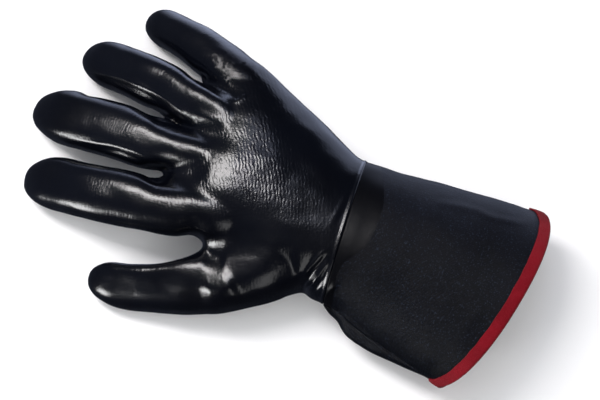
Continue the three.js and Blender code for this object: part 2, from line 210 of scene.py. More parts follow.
def along_line(p, line):
    """Distance of 2-D points from a polyline, and how far along it the nearest place is, 0 to 1."""
    line = np.asarray(line, float)
    seg = np.diff(line, axis=0)
    size = np.linalg.norm(seg, axis=1)
    start = np.concatenate([[0], np.cumsum(size)])
    best = np.full(len(p), 1e9)
    at = np.zeros(len(p))
    side = np.zeros(len(p))
    for k in range(len(seg)):
        rel = p - line[k]
        t = np.clip(rel @ seg[k] / size[k] ** 2, 0, 1)
        off = rel - t[:, None] * seg[k]
        d = np.linalg.norm(off, axis=1)
        near = d < best
        best[near] = d[near]
        at[near] = (start[k] + t[near] * size[k]) / start[-1]
        side[near] = np.sign(seg[k][0] * rel[near, 1] - seg[k][1] * rel[near, 0])
    return best, at, side


def curve_through(points, step=3.0):
    """A smooth line through a few 2-D points."""
    p = np.asarray(points, float)
    if len(p) < 3:
        return p
    n = max(2, int(np.linalg.norm(np.diff(p, axis=0), axis=1).sum() / step))
    t = np.linspace(0, len(p) - 1, n + 1)
    return np.stack([column(p[:, 0], t), column(p[:, 1], t)], 1)


# ------------------------------------------------------------------ creases that show on the back
# Each: the line it follows in the 600 x 400 view, its half width in that view, how far it stands
# out in millimetres (less than zero is a groove), and 1 where it starts at its full depth.
CREASES = [
    # the wrist: a soft fold beside the seam and the groove between
    ([(354, 178), (349, 190), (343, 203), (335, 216), (327, 228)], 3.0, 0.2, 0),
    ([(358, 182), (352, 197), (345, 211), (336, 225)], 1.9, -0.35, 0),
    # folds at the thumb's side of the wrist, each a ridge with a groove after it
    ([(326, 250), (316, 260), (307, 271), (301, 283)], 2.6, 0.9, 0),
    ([(329, 255), (320, 264), (312, 274), (306, 284)], 2.2, -0.9, 0),
    ([(332, 259), (324, 268), (316, 279), (309, 289)], 1.9, 1.2, 0),
    ([(335, 268), (328, 275), (320, 284), (313, 292)], 2.6, -1.2, 0),
    ([(338, 281), (332, 287), (326, 293), (322, 300)], 3.0, 1.8, 0),
    # hollows between the roots of the fingers
    ([(160, 174), (172, 173), (188, 172), (202, 172), (211, 172)], 13.0, -4.4, 1),
    ([(162, 119), (182, 127), (205, 134), (226, 138), (238, 140)], 8.6, -3.4, 1),
    ([(203, 78), (215, 84), (229, 91), (241, 98)], 5.0, -2.6, 1),
    # the fold that forks off the ring finger's back, and the one over the little finger's hollow
    ([(192, 112), (206, 117), (218, 121), (232, 124)], 4.6, 0.8, 0),
    ([(232, 102), (240, 100), (247, 93)], 2.0, 0.6, 0),
    # side seams of the middle and ring fingers, each with the cloth sinking below it
    ([(62, 137), (90, 142), (118, 146), (140, 154), (163, 169)], 1.9, 0.4, 0),
    ([(68, 143), (92, 148), (118, 152), (140, 161), (158, 172)], 2.6, -0.6, 0),
    ([(88, 71), (118, 77), (148, 89), (172, 104), (187, 117)], 1.9, 0.4, 0),
    ([(94, 77), (118, 83), (146, 95), (168, 109)], 2.6, -0.6, 0),
    # the ridge round the root of the thumb, the shelf filled in beside it and the hollow inside it
    ([(202, 246), (203, 264), (203, 282), (201, 302)], 34.0, 2.3, 0),
    ([(208, 245), (236, 248), (260, 250), (292, 256)], 13.0, 1.5, 0),
    ([(202, 256), (213, 257), (226, 258)], 11.0, -1.3, 0),
    ([(200, 298), (211, 296), (223, 292), (238, 284)], 17.0, 2.0, 0),
    # the cuff's crease on the thumb's side, with the hollow lens below it
    ([(324, 299), (337, 310), (360, 329), (377, 344), (398, 360)], 1.8, 0.9, 0),
    ([(334, 316), (350, 330), (362, 340), (380, 354)], 4.0, -1.2, 0),
    # the border of the rolled edge along the cuff's outer side
    ([(412, 177), (440, 184), (468, 190), (493, 196)], 1.6, -0.5, 0),
    ([(428, 201), (452, 205), (477, 211), (493, 218), (538, 226)], 4.0, 0.6, 0),
]

# Swellings: middle in authoring millimetres, radius, rise
SWELLS = [
    ((24.0, 187.0, 20.0), 7.0, 1.6),
    ((23.0, 176.0, 26.0), 5.0, -0.5),
    ((-19.0, 176.0, 22.0), 9.0, 0.8),
    ((-46.0, 92.0, 30.0), 8.0, -1.0),
    ((-43.0, 80.0, 36.0), 6.0, 1.3),
    ((66.0, 92.0, 50.0), 11.0, 1.2),
]


# How far the forks between the fingers are cut back: x, y, radius, depth
FORKS = [(-40.5, 82.5, 7.0, 5.0), (-7.5, 117.5, 8.0, 2.4), (27.2, 136.0, 9.0, 2.4), (57.3, 119.0, 7.0, 2.2)]

BROAD = 3.9  # creases at least this wide shape both skins; finer ones shape the outer skin only


def crease_relief(px, facing, broad):
    out = np.zeros(len(px))
    for line, width, rise, full in CREASES:
        if (width >= BROAD) != broad:
            continue
        curve = curve_through(line)
        lo, hi = curve.min(0) - 4 * width, curve.max(0) + 4 * width
        some = np.flatnonzero(((px > lo) & (px < hi)).all(1) & (facing > 0.02))
        if not len(some):
            continue
        d, at, _ = along_line(px[some], curve)
        fade = 0.68 * ease(0, 0.4, 1 - at) + 0.32 * ease(0.3, 1, 1 - at) if full else ease(-0.04, 0.3, np.minimum(at, 1 - at))
        out[some] += rise * fade * np.exp(-((d / width) ** 2)) * ease(0.02, 0.25, facing[some])
    return out


# ------------------------------------------------------------------ the hand as a distance field
class Finger:
    def __init__(self, cap, rows, roll, lean, square, samples=150):
        rows = np.array(rows, float)
        self.lean, self.corner = lean, square
        at = np.linspace(0, len(rows) - 1, 1200)
        p = np.stack([column(rows[:, i], at) for i in range(3)], 1)
        run = np.concatenate([[0], np.cumsum(np.linalg.norm(np.diff(p, axis=0), axis=1))])
        self.cap = cap
        self.length = run[-1]
        s = np.linspace(0, run[-1], samples)
        t = np.interp(s, run, at)
        self.step = s[1]
        self.P, self.w, self.h = np.stack([column(rows[:, i], t) for i in range(3)], 1), column(rows[:, 3], t), column(rows[:, 4], t)
        self.T = unit(np.gradient(self.P, axis=0))
        self.S = unit(np.stack([self.T[:, 1], -self.T[:, 0], 0 * self.T[:, 0]], 1))
        self.U = np.cross(self.S, self.T)
        turn = np.radians(column(roll, np.linspace(0, len(roll) - 1, samples)))[:, None]
        self.S, self.U = np.cos(turn) * self.S + np.sin(turn) * self.U, np.cos(turn) * self.U - np.sin(turn) * self.S
        self.norm = (self.P**2).sum(1)

    def local(self, q):
        """Distance along the centreline, and to its side and above it."""
        k = np.empty(len(q), int)
        for c in range(0, len(q), 100000):
            part = q[c : c + 100000]
            k[c : c + 100000] = (self.norm[None, :] - 2 * part @ self.P.T).argmin(1)
        ahead = ((q - self.P[k]) * self.T[k]).sum(1) / self.step
        last = len(self.P) - 1
        u = np.clip(k + np.clip(ahead, -0.6, 0.6), 0, last)
        over = np.where(k == last, np.maximum(ahead, 0), np.where(k == 0, np.minimum(ahead, 0), 0)) * self.step
        i = np.minimum(u.astype(int), last - 1)
        f = (u - i)[:, None]
        mix = lambda v: v[i] * (1 - f) + v[i + 1] * f
        p, side, up = mix(self.P), unit(mix(self.S)), unit(mix(self.U))
        tangent = unit(mix(self.T))
        w, h = mix(self.w[:, None])[:, 0], mix(self.h[:, None])[:, 0]
        rel = q - p
        s = np.where(over != 0, np.where(over > 0, self.length, 0) + over, u * self.step)
        return s, (rel * side).sum(1), (rel * up).sum(1), w, h, side, up, tangent

    def field(self, q):
        s, a, b, w, h, side, up, tangent = self.local(q)
        lean, n = (np.interp(s, np.linspace(0, self.length, len(v)), v) for v in (self.lean, self.corner))
        b = b - lean * a
        up = up - lean[:, None] * side
        A, B = np.abs(a) / w, np.abs(b) / h
        rho = (A**n + B**n) ** (1 / n) + 1e-9
        tip, root = (s - (self.length - self.cap)) / self.cap, (10 - s) / 10
        c = np.where(tip > 0, tip, np.where(root > 0, -root, 0))
        gc = np.where(tip > 0, 1 / self.cap, np.where(root > 0, 0.1, 0))
        F = np.sqrt(rho**2 + c**2)
        ga, gb = (A / rho) ** (n - 1) / w * np.sign(a), (B / rho) ** (n - 1) / h * np.sign(b)
        g = (rho / F * ga)[:, None] * side + (rho / F * gb)[:, None] * up + (c / F * gc)[:, None] * tangent
        size = np.maximum(np.linalg.norm(g, axis=1), 0.02)
        return (F - 1) / size, g / size[:, None]


class Palm:
    def __init__(self, rows, samples=161):
        t = np.linspace(0, len(rows) - 1, samples)
        self.t = t
        self.cols = [column(rows[:, i], t) for i in range(8)]
        lx, ly, rx, ry = self.cols[:4]
        self.left = np.stack([lx, ly], 1)
        across = np.stack([rx - lx, ry - ly], 1)
        self.half = np.linalg.norm(across, axis=1) / 2
        self.across = unit(across)
        self.along = np.stack([-self.across[:, 1], self.across[:, 0]], 1)

    def place(self, xy):
        m, f, beyond = np.empty(len(xy), int), np.empty(len(xy)), np.empty(len(xy))
        offset = (self.left * self.along).sum(1)
        last = len(self.t) - 1
        for c in range(0, len(xy), 100000):
            g = xy[c : c + 100000] @ self.along.T - offset
            k = np.clip((g >= 0).sum(1) - 1, 0, last - 1)
            r = np.arange(len(k))
            m[c : c + 100000] = k
            f[c : c + 100000] = np.clip(g[r, k] / np.maximum(g[r, k] - g[r, k + 1], 1e-9), 0, 1)
            beyond[c : c + 100000] = g[:, -1]
        return m, f, beyond

    def field(self, q):
        m, f, beyond = self.place(q[:, :2])
        mix = lambda v: v[m] * (1 - f) + v[m + 1] * f
        left = self.left[m] * (1 - f)[:, None] + self.left[m + 1] * f[:, None]
        across = unit(self.across[m] * (1 - f)[:, None] + self.across[m + 1] * f[:, None])
        half = mix(self.half)
        p = ((q[:, :2] - left) * across).sum(1) - half
        bottom, top, nt, nb = (mix(self.cols[i]) for i in range(4, 8))
        mid, high = (top + bottom) / 2, (top - bottom) / 2
        z = q[:, 2] - mid
        n = np.where(z >= 0, nt, nb)
        A, B = np.abs(p) / half, np.abs(z) / high
        F = (A**n + B**n) ** (1 / n) + 1e-9
        gp, gz = (A / F) ** (n - 1) / half * np.sign(p), (B / F) ** (n - 1) / high * np.sign(z)
        size = np.maximum(np.hypot(gp, gz), 0.01)
        d = (F - 1) / size
        normal = np.concatenate([(gp / size)[:, None] * across, (gz / size)[:, None]], 1)
        # a rounded end between the roots of the fingers
        k = 9.0
        h = np.clip(0.5 + 0.5 * (beyond - d) / k, 0, 1)
        return d * (1 - h) + beyond * h + k * h * (1 - h), normal


def merge(a, b, k):
    """A smooth union that leaves surfaces that run on into each other as they are."""
    (da, na), (db, nb) = a, b
    turn = np.clip(1 - (na * nb).sum(1), 0, 1.2)
    k = np.maximum(k * turn, 0.05)
    h = np.clip(0.5 + 0.5 * (db - da) / k, 0, 1)
    d = db * (1 - h) + da * h - k * h * (1 - h)
    return d, unit(nb * (1 - h)[:, None] + na * h[:, None])


fingers = {
    name: Finger(cap, rows, ROLL[name], LEAN.get(name, (0, 0, 0, 0, 0)), SQUARE[name])
    for name, (cap, rows) in FINGERS.items()
}
palm = Palm(PALM)


def hand_field(q):
    four = fingers["index"].field(q)
    for name in ("middle", "ring", "little"):
        four = merge(four, fingers[name].field(q), 3.0)
    body = merge(palm.field(q), four, 9.0)
    d, n = merge(body, fingers["thumb"].field(q), 12.0)
    d = d - crease_relief(picture(q), n @ BACK, True)
    for middle, radius, rise in SWELLS:
        d = d - rise * np.exp(-((q - middle) ** 2).sum(1) / radius**2)
    for x, y, radius, deep in FORKS:
        d = d + deep * np.exp(-((q[:, 0] - x) ** 2 + (q[:, 1] - y) ** 2) / radius**2)
    return d


# ------------------------------------------------------------------ surface nets
def rows_from(start, spans):
    """Grid lines from a start, by (step, count) spans."""
    out = [start]
    for step, count in spans:
        for _ in range(count):
            out.append(out[-1] + step)
    return np.array(out)


RIM = -1.6  # the hand's coating runs this far over the seam
gx = rows_from(-96.5, [(1.18, 172)])
gy = rows_from(RIM, [(0.62, 32), (0.9, 8), (1.18, 164)])
gz = rows_from(-6.0, [(1.18, 64)])


def sample_field():
    def points(x, y, z):
        X, Y, Z = np.meshgrid(x, y, z, indexing="ij")
        return np.stack([X, Y + SEAM_Y + SEAM_SLOPE * X, Z], -1).reshape(-1, 3)

    coarse = hand_field(points(gx[::4], gy[::4], gz[::4])).reshape(len(gx[::4]), len(gy[::4]), len(gz[::4]))
    D = coarse
    for axis, n in enumerate((len(gx), len(gy), len(gz))):
        at = np.arange(n) / 4
        i = np.minimum(at.astype(int), D.shape[axis] - 2)
        shape = [1, 1, 1]
        shape[axis] = n
        f = (at - i).reshape(shape)
        D = np.take(D, i, axis) * (1 - f) + np.take(D, i + 1, axis) * f
    near = np.argwhere(np.abs(D) < 5.5)
    x, y, z = gx[near[:, 0]], gy[near[:, 1]], gz[near[:, 2]]
    D[tuple(near.T)] = hand_field(np.stack([x, y + SEAM_Y + SEAM_SLOPE * x, z], 1))
    return D


def settle(D):
    """Fills the corners where two sheets of the surface would meet in one edge."""
    D = D.copy()
    for _ in range(12):
        found = 0
        for axis in range(3):
            u, v = [k for k in range(3) if k != axis]

            def shifted(du, dv):
                cut = [slice(None)] * 3
                cut[u] = slice(du, D.shape[u] - 1 + du)
                cut[v] = slice(dv, D.shape[v] - 1 + dv)
                return D[tuple(cut)]

            a, b, c, d = shifted(0, 0) < 0, shifted(1, 0) < 0, shifted(1, 1) < 0, shifted(0, 1) < 0
            for at in np.argwhere((a == c) & (b == d) & (a != b)):
                corners = []
                for du, dv in ((0, 0), (1, 0), (1, 1), (0, 1)):
                    k = at.copy()
                    k[u] += du
                    k[v] += dv
                    corners.append((float(D[tuple(k)]), tuple(k)))
                outside = [k for k in corners if k[0] >= 0]
                if len(outside) == 2:
                    D[min(outside)[1]] = -1e-3
                    found += 1
        if not found:
            break
    return D


def surface_nets(D, x, y, z):
    """Quads over the zero surface of D, open at the first row in y."""
    D = settle(D)
    inside = D < 0
    nx, ny, nz = D.shape
    count = np.zeros((nx - 1, ny - 1, nz - 1), np.int8)
    for i in (0, 1):
        for j in (0, 1):
            for k in (0, 1):
                count += inside[i : nx - 1 + i, j : ny - 1 + j, k : nz - 1 + k]
    active = (count > 0) & (count < 8)
    cell = np.full(active.shape, -1, np.int64)
    ci = np.argwhere(active)
    cell[active] = np.arange(len(ci))
    total, hits = np.zeros((len(ci), 3)), np.zeros(len(ci))
    for axis in range(3):
        for a in (0, 1):
            for b in (0, 1):
                p = np.insert(np.array([a, b]), axis, 0)
                q = p.copy()
                q[axis] = 1
                dp, dq = D[tuple((ci + p).T)], D[tuple((ci + q).T)]
                cut = (dp < 0) != (dq < 0)
                f = np.where(cut, dp / np.where(cut, dp - dq, 1), 0)
                total[cut] += p + f[cut, None] * (q - p)
                hits += cut
    at = ci + total / hits[:, None]
    V = np.stack([np.interp(at[:, i], np.arange(len(g)), g) for i, g in enumerate((x, y, z))], 1)
    quads = []
    for axis in range(3):
        lo, hi = [slice(None)] * 3, [slice(None)] * 3
        lo[axis], hi[axis] = slice(0, -1), slice(1, None)
        a, b = inside[tuple(lo)], inside[tuple(hi)]
        e = np.argwhere(a != b)
        u, v = (axis + 1) % 3, (axis + 2) % 3
        ok = (e[:, u] > 0) & (e[:, v] > 0) & (e[:, u] < D.shape[u] - 1) & (e[:, v] < D.shape[v] - 1)
        e = e[ok]
        out = a[tuple(e.T)]
        corners = []
        for du, dv in ((-1, -1), (0, -1), (0, 0), (-1, 0)):
            c = e.copy()
            c[:, u] += du
            c[:, v] += dv
            corners.append(cell[tuple(c.T)])
        quad = np.stack(corners, 1)
        quad[~out] = quad[~out][:, ::-1]
        quads.append(quad)
    return V, np.concatenate(quads)


def edges_of(faces):
    e = np.concatenate([np.stack([faces[:, i], faces[:, (i + 1) % faces.shape[1]]], 1) for i in range(faces.shape[1])])
    return e


def open_loop(faces, n):
    """The vertices of the one open edge of a sheet, in order."""
    e = edges_of(faces)
    key = e[:, 0] * n + e[:, 1]
    back = e[:, 1] * n + e[:, 0]
    alone = e[~np.isin(key, back)]
    following = dict(zip(alone[:, 0].tolist(), alone[:, 1].tolist()))
    first = alone[0, 0]
    loop = [int(first)]
    while following[loop[-1]] != loop[0]:
        loop.append(following[loop[-1]])
    assert len(loop) == len(alone), "the sheet has more than one open edge"
    return np.array(loop)


def smooth(V, faces, held, passes, strong=0.5):
    """Evens out a sheet without shrinking it. held vertices stay in their own row."""
    e = np.unique(np.sort(edges_of(faces), axis=1), axis=0)
    rim = np.zeros(len(V), bool)
    rim[held] = True
    e = e[(rim[e[:, 0]] == rim[e[:, 1]]) | True]
    a, b = e[:, 0], e[:, 1]
    # a rim vertex listens to its rim neighbours only
    ab, ba = ~rim[a] | rim[b], ~rim[b] | rim[a]
    src, dst = np.concatenate([b[ab], a[ba]]), np.concatenate([a[ab], b[ba]])
    weight = np.maximum(np.bincount(dst, minlength=len(V)), 1)
    V = V.copy()
    for _ in range(passes):
        for share in (strong, -strong * 1.04):
            mean = np.stack([np.bincount(dst, V[src, i], len(V)) for i in range(3)], 1) / weight[:, None]
            V += share * (mean - V)
    return V


def normals_of(V, faces):
    a, b, c, d = (V[faces[:, i]] for i in range(4))
    n = np.cross(c - a, d - b)
    out = np.stack([sum(np.bincount(faces[:, i], n[:, k], len(V)) for i in range(4)) for k in range(3)], 1)
    return unit(out)


def build_mesh(name, V, faces, smooth_shade=True):
    """A mesh object from points in millimetres, at the origin, in metres."""
    mesh = bpy.data.meshes.new(name)
    points = (V - SHIFT) / 1000
    loops = np.concatenate([np.asarray(f).reshape(-1) for f in faces]).astype(np.int32)
    sizes = np.concatenate([np.full(len(f), np.asarray(f).shape[1]) for f in faces]).astype(np.int32)
    mesh.vertices.add(len(points))
    mesh.vertices.foreach_set("co", points.astype(np.float32).reshape(-1))
    mesh.loops.add(len(loops))
    mesh.loops.foreach_set("vertex_index", loops)
    mesh.polygons.add(len(sizes))
    mesh.polygons.foreach_set("loop_start", np.concatenate([[0], np.cumsum(sizes)[:-1]]).astype(np.int32))
    mesh.polygons.foreach_set("loop_total", sizes)
    mesh.polygons.foreach_set("use_smooth", np.full(len(sizes), smooth_shade))
    mesh.update(calc_edges=True)
    assert not mesh.validate(), name + " had faults"
    o = bpy.data.objects.new(name, mesh)
    bpy.context.scene.collection.objects.link(o)
    return o


def attribute(o, name, values):
    a = o.data.attributes.new(name, "FLOAT", "POINT")
    a.data.foreach_set("value", np.asarray(values, np.float32))


# ------------------------------------------------------------------ hand
def make_hand():
    D = sample_field()
    V, Q = surface_nets(D, gx, gy, gz)
    W, P = surface_nets(D[::2, ::2, ::2] + HAND_WALL, gx[::2], gy[::2], gz[::2])
    P = P[:, ::-1]
    loops = []
    sheets = []
    for verts, faces, passes in ((V, Q, 10), (W, P, 5)):
        loop = open_loop(faces, len(verts))
        verts[loop, 1] = RIM
        verts = smooth(verts, faces, loop, passes)
        verts[loop, 1] = RIM
        verts[:, 1] += SEAM_Y + SEAM_SLOPE * verts[:, 0]
        loops.append(loop)
        sheets.append(verts)
    V, W = sheets

    # folds on both skins, and the seam's bead on the outer skin
    for verts in (V, W):
        x, y, z = verts.T
        turn = np.degrees(np.arctan2(z - 32, x / 1.5)) % 360
        # the ellipse's own angle
        depth = fold_depth(x, y, turn)
        inward = unit(np.stack([-x, 0 * x, 32 - z], 1))
        verts += depth[:, None] * inward
    n = normals_of(V, Q)
    off = V[:, 1] - SEAM_Y - SEAM_SLOPE * V[:, 0]
    n[loops[0], 1] = 0
    n = unit(n)
    back = ease(-0.35, 0.2, n[:, 2])
    bead = 0.95 * np.exp(-(((off + 0.35) / 0.6) ** 2)) * (0.75 + 0.25 * noise(V / 9.0, 5))
    V += n * (bead * (0.6 + 0.4 * back))[:, None]

    # where each point lies on the fingers
    names = list(fingers)
    dist, run, side, over = [], [], [], []
    for name in names:
        f = fingers[name]
        s, a, b, w, h, *_ = f.local(V)
        dist.append(np.hypot(a / w, b / h) + np.maximum(0, (12 - s) / 12) * 2)
        run.append(s)
        side.append(np.arctan2(a / w, b / h))
        over.append(s / f.length)
    dist, run, side, over = map(np.array, (dist, run, side, over))
    which = dist.argmin(0)
    cols = np.arange(len(V))
    s, turn, share = run[which, cols], side[which, cols], over[which, cols]
    on_finger = ease(30, 62, s)

    # the coat's slow undulation, and finer unevenness across the fingers
    n = normals_of(V, Q)
    slow = noise(V / np.array([17.0, 24.0, 15.0]), 1) * 0.42 + noise(V / np.array([8.0, 11.0, 8.0]), 2) * 0.16
    rim = ease(0, 6, off)
    V += n * (slow * rim)[:, None]

    facing = normals_of(V, Q) @ BACK
    V += n * (crease_relief(picture(V), facing, False) * rim)[:, None]
    V[:, 2] = np.maximum(V[:, 2], 0.0)

    # the wrist rim between the two skins
    rims = []
    for verts, loop in ((V, loops[0]), (W, loops[1])):
        angle = np.arctan2(verts[loop, 2] - 32, verts[loop, 0])
        order = loop if np.unwrap(angle)[-1] > np.unwrap(angle)[0] else loop[::-1]
        angle = np.arctan2(verts[order, 2] - 32, verts[order, 0])
        k = angle.argmin()
        order = np.roll(order, -k)
        rims.append((order, np.unwrap(np.roll(angle, -k))))
    (O, ao), (I, ai) = rims
    I = I + len(V)
    tris = []
    i = j = 0
    while i < len(O) or j < len(I):
        next_o = ao[i + 1] if i + 1 < len(O) else (ao[0] + 2 * np.pi if i < len(O) else 1e9)
        next_i = ai[j + 1] if j + 1 < len(I) else (ai[0] + 2 * np.pi if j < len(I) else 1e9)
        o0, i0 = O[i % len(O)], I[j % len(I)]
        if next_o <= next_i:
            tris.append((o0, O[(i + 1) % len(O)], i0))
            i += 1
        else:
            tris.append((o0, I[(j + 1) % len(I)], i0))
            j += 1
    tris = np.array(tris)
    allv = np.concatenate([V, W])
    test = np.cross(allv[tris[:, 1]] - allv[tris[:, 0]], allv[tris[:, 2]] - allv[tris[:, 0]])[:, 1].sum()
    if test > 0:
        tris = tris[:, ::-1]
    o = build_mesh("glove_hand", allv, [Q, P + len(V), tris])

    # knit coordinates: along the hand and round it, in millimetres
    root = {"index": 58, "middle": 62, "ring": 64, "little": 60, "thumb": 18}
    lengthwise = 0.88 * V[:, 1] - V[:, 0] * (0.36 + 0.0035 * (V[:, 1] - 30))
    w = np.exp(-((dist - dist.min(0)) / 0.25))
    w /= w.sum(0)
    finger_along = sum(w[i] * (run[i] + root[names[i]]) for i in range(5))
    finger_round = sum(w[i] * side[i] * 15 for i in range(5))
    along = lengthwise * (1 - on_finger) + finger_along * on_finger
    around = V[:, 0] * (1 - on_finger) + finger_round * on_finger
    px = picture(V)
    amount = ease(350, 240, px[:, 0]) * (0.3 + 0.7 * ease(235, 195, px[:, 1]))
    pad = np.zeros(len(W))
    attribute(o, "along", np.concatenate([along, W[:, 1]]))
    attribute(o, "around", np.concatenate([around, W[:, 0]]))
    attribute(o, "knit", np.concatenate([np.where(back > 0.2, amount, 0.3), pad]))
    attribute(o, "on_finger", np.concatenate([on_finger, pad]))
    attribute(o, "inside", np.concatenate([np.zeros(len(V)), np.ones(len(W))]))
    return o


# ------------------------------------------------------------------ cuff
def cuff_row(t):
    """The cuff's table at places t; its last stretch is straight."""
    body = [column(CUFF[:, i], np.minimum(t, 5)) for i in range(CUFF.shape[1])]
    f = np.clip(t - 5, 0, 1)
    return [b + f * (CUFF[6, i] - CUFF[5, i]) for i, b in enumerate(body)]


def cuff_outline(t, turn, wall):
    """Points of the cuff's skin at places t (rows) and angles turn (columns), moved in by wall."""
    lx, ly, rx, ry, bottom, top, kt, kb, bulge, bow, floor = (v[:, None] for v in cuff_row(t))
    across = np.concatenate([rx - lx, ry - ly], 1)
    half = (np.linalg.norm(across, axis=1) / 2)[:, None]
    across = unit(across)
    along = np.stack([-across[:, 1], across[:, 0]], 1)
    mid = (bottom + top) / 2
    sin, cos = np.sin(turn), np.cos(turn)
    sin, cos = np.where(np.abs(sin) < 1e-9, 0, sin), np.where(np.abs(cos) < 1e-9, 0, cos)
    high = np.where(sin >= 0, top - mid, mid - bottom)
    k = np.where(sin >= 0, kt, kb)
    x = half * power(cos, 2 / 2.2)
    low = (sin < 0) & (cos < 0)
    x = x - np.where(low, bulge * 1.75 * np.sqrt(np.maximum(-sin, 0)) * np.maximum(-cos, 0) ** 1.5, 0)
    z = mid + high * power(sin, 2 / k)
    floor = np.maximum(floor, 0)
    z = np.maximum(z, floor)
    if wall:
        dx = np.roll(x, -1, 1) - np.roll(x, 1, 1)
        dz = np.roll(z, -1, 1) - np.roll(z, 1, 1)
        size = np.maximum(np.hypot(dx, dz), 1e-9)
        x, z = x - wall * dz / size, z + wall * dx / size
        z = np.maximum(z, floor + wall)
    back = bow * np.abs(sin) ** 0.9 * np.where(sin >= 0, 1, 0.5)
    X = lx + across[:, :1] * (half + x) - along[:, :1] * back
    Y = ly + across[:, 1:] * (half + x) - along[:, 1:] * back
    depth = fold_depth(X, Y, np.degrees(turn) % 360)
    inward = unit(np.stack([-X, 0 * X, mid - z], -1))
    return np.stack([X, Y, z], -1) + depth[..., None] * inward


def even_turns(t, upper, lower):
    """Angles that divide the back and the palm side of each ring evenly, with a column on each crease."""
    fine = np.linspace(0, 2 * np.pi, 1441)[:-1]
    ring = cuff_outline(t, np.repeat(fine[None], len(t), 0), 0)
    step = np.linalg.norm(np.roll(ring, -1, 1) - ring, axis=2)
    out = []
    for r in range(len(t)):
        a = np.concatenate([[0], np.cumsum(step[r, :720])])
        b = np.concatenate([[0], np.cumsum(step[r, 720:])])
        top = np.interp(np.linspace(0, a[-1], upper + 1)[:-1], a, np.linspace(0, np.pi, 721))
        low = np.interp(np.linspace(0, b[-1], lower + 1)[:-1], b, np.linspace(np.pi, 2 * np.pi, 721))
        out.append(np.concatenate([top, low]))
    return np.array(out)


UPPER, LOWER = 176, 164
AROUND = UPPER + LOWER
# The edge of the second dip on the back of the cuff, in the 600 x 400 view
DIP_EDGE = [(379, 160), (383, 178), (384, 200), (381, 215), (372, 235), (362, 250), (345, 262), (337, 276), (333, 300)]


def grid_faces(rows, cols, first=0):
    i = np.arange(cols)
    j = (i + 1) % cols
    out = []
    for r in range(rows - 1):
        a, b = first + r * cols, first + (r + 1) * cols
        out.append(np.stack([a + i, a + j, b + j, b + i], 1))
    return np.concatenate(out)


def make_cuff():
    rows = 118
    t = np.concatenate([[0.0], np.interp(np.linspace(0, 1, rows - 1), [0, 0.11, 0.22, 0.41, 0.66, 0.9, 1], [0.17, 1, 2, 3, 4, 5, 6])])
    turn = even_turns(t, UPPER, LOWER)
    out = cuff_outline(t, turn, 0)
    ti = t[::2] if len(t) % 2 else np.concatenate([t[::2], t[-1:]])
    turn_in = even_turns(ti, UPPER, LOWER)
    inn = cuff_outline(ti, turn_in, CUFF_WALL)
    # the first ring of each skin meets the hand's rim
    for skin in (out, inn):
        skin[0, :, 1] = SEAM_Y + SEAM_SLOPE * skin[0, :, 0] + RIM - 0.06
    n_out, n_in = out.shape[0], inn.shape[0]
    V = out.reshape(-1, 3)
    Q = grid_faces(n_out, AROUND)[:, ::-1]
    n = normals_of(V, Q)
    if (n * (V - [0, -50, 33])).sum(1).mean() < 0:
        Q = Q[:, ::-1]
        n = -n
    row = np.repeat(np.arange(n_out), AROUND)
    tt = np.repeat(t, AROUND)
    off = -(V[:, 1] - SEAM_Y - SEAM_SLOPE * V[:, 0])
    # undulation of the canvas, none at the seam or under the tape
    free = ease(0.0, 0.8, tt) * (1 - ease(4.6, 5.1, tt))
    slow = noise(V / np.array([30.0, 26.0, 26.0]), 11) * 0.7 + noise(V / np.array([11.0, 13.0, 11.0]), 12) * 0.2
    V = V + n * (slow * free)[:, None]
    px = picture(V)
    facing = n @ BACK
    d, at, sidewards = along_line(px, curve_through(DIP_EDGE))
    d = d * sidewards
    # the underside's edge follows the seam
    dip_back = ease(-1.2, 1.2, d)
    dip_low = ease(17.0, 15.8, off + 2.0 * noise(V / 12.0, 14))
    seen = ease(-0.1, 0.15, facing)
    dip = dip_back * seen + dip_low * (1 - seen)
    V = V + n * (0.12 * dip * free)[:, None]
    V = V + n * ((crease_relief(px, facing, True) + crease_relief(px, facing, False)) * free)[:, None]
    V[:, 2] = np.maximum(V[:, 2], 0.0)
    inner = inn.reshape(-1, 3)
    allv = np.concatenate([V, inner])
    faces = [Q]
    flip = Q[0].tolist() == grid_faces(n_out, AROUND)[0].tolist()
    inner_faces = grid_faces(n_in, AROUND, len(V))
    faces.append(inner_faces[:, ::-1] if flip else inner_faces)
    i = np.arange(AROUND)
    j = (i + 1) % AROUND
    start = np.stack([i, j, len(V) + j, len(V) + i], 1)
    a, b = (n_out - 1) * AROUND, len(V) + (n_in - 1) * AROUND
    end = np.stack([a + i, a + j, b + j, b + i], 1)
    faces.append(start[:, ::-1] if flip else start)
    faces.append(end if flip else end[:, ::-1])
    o = build_mesh("glove_cuff", allv, faces)
    length = np.concatenate([np.zeros((1, AROUND)), np.cumsum(np.linalg.norm(np.diff(out, axis=0), axis=2), 0)]).reshape(-1)
    circle = np.concatenate([np.zeros((n_out, 1)), np.cumsum(np.linalg.norm(np.diff(out, axis=1), axis=2), 1)], 1).reshape(-1)
    pad = np.zeros(len(inner))
    attribute(o, "along", np.concatenate([length, inner[:, 1]]))
    attribute(o, "around", np.concatenate([V[:, 0], inner[:, 0]]))
    attribute(o, "dip", np.concatenate([dip, pad]))
    attribute(o, "inside", np.concatenate([np.zeros(len(V)), np.ones(len(inner))]))
    return o


